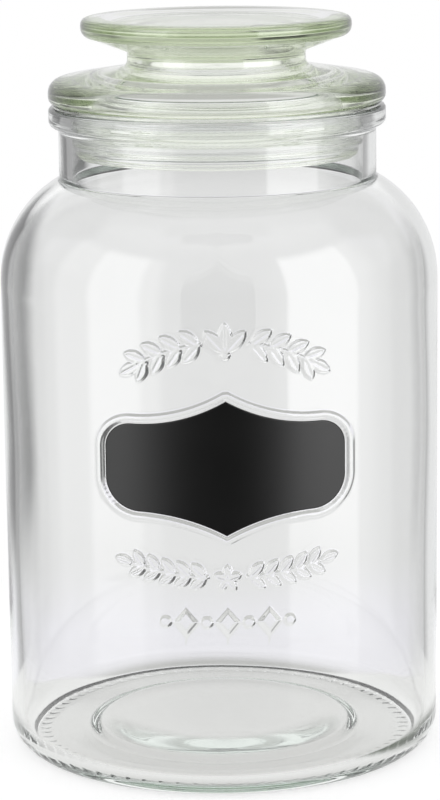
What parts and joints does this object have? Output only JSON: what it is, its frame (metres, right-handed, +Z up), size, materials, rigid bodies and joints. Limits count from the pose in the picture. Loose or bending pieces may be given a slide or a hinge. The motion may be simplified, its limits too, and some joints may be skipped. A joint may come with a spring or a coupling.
{
  "type": "glass storage jar",
  "caption": "Straight-sided clear glass storage jar with a round shoulder, wide neck, loose pressed glass lid with a flat knob, finned seal and framed black label.",
  "frame": {"origin": "centre of the base, on the surface that the jar stands on", "axes": "+Z up along the jar's axis; the label faces -Y, so +X is to the right of someone who looks at the label"},
  "size_m": [0.16, 0.1608, 0.2688],
  "materials": {
    "jar_glass": "clear blown soda-lime glass, fire-polished",
    "lid_glass": "clear pressed glass with a green tint in its thick rim",
    "seal_soft": "translucent soft polymer, moulded",
    "label_film": "black chalk film, semi-matt"
  },
  "bodies": {
    "root": {"jar": "jar_glass", "lid": "lid_glass", "seal": "seal_soft", "chalk_label": "label_film"}
  },
  "joints": []
}
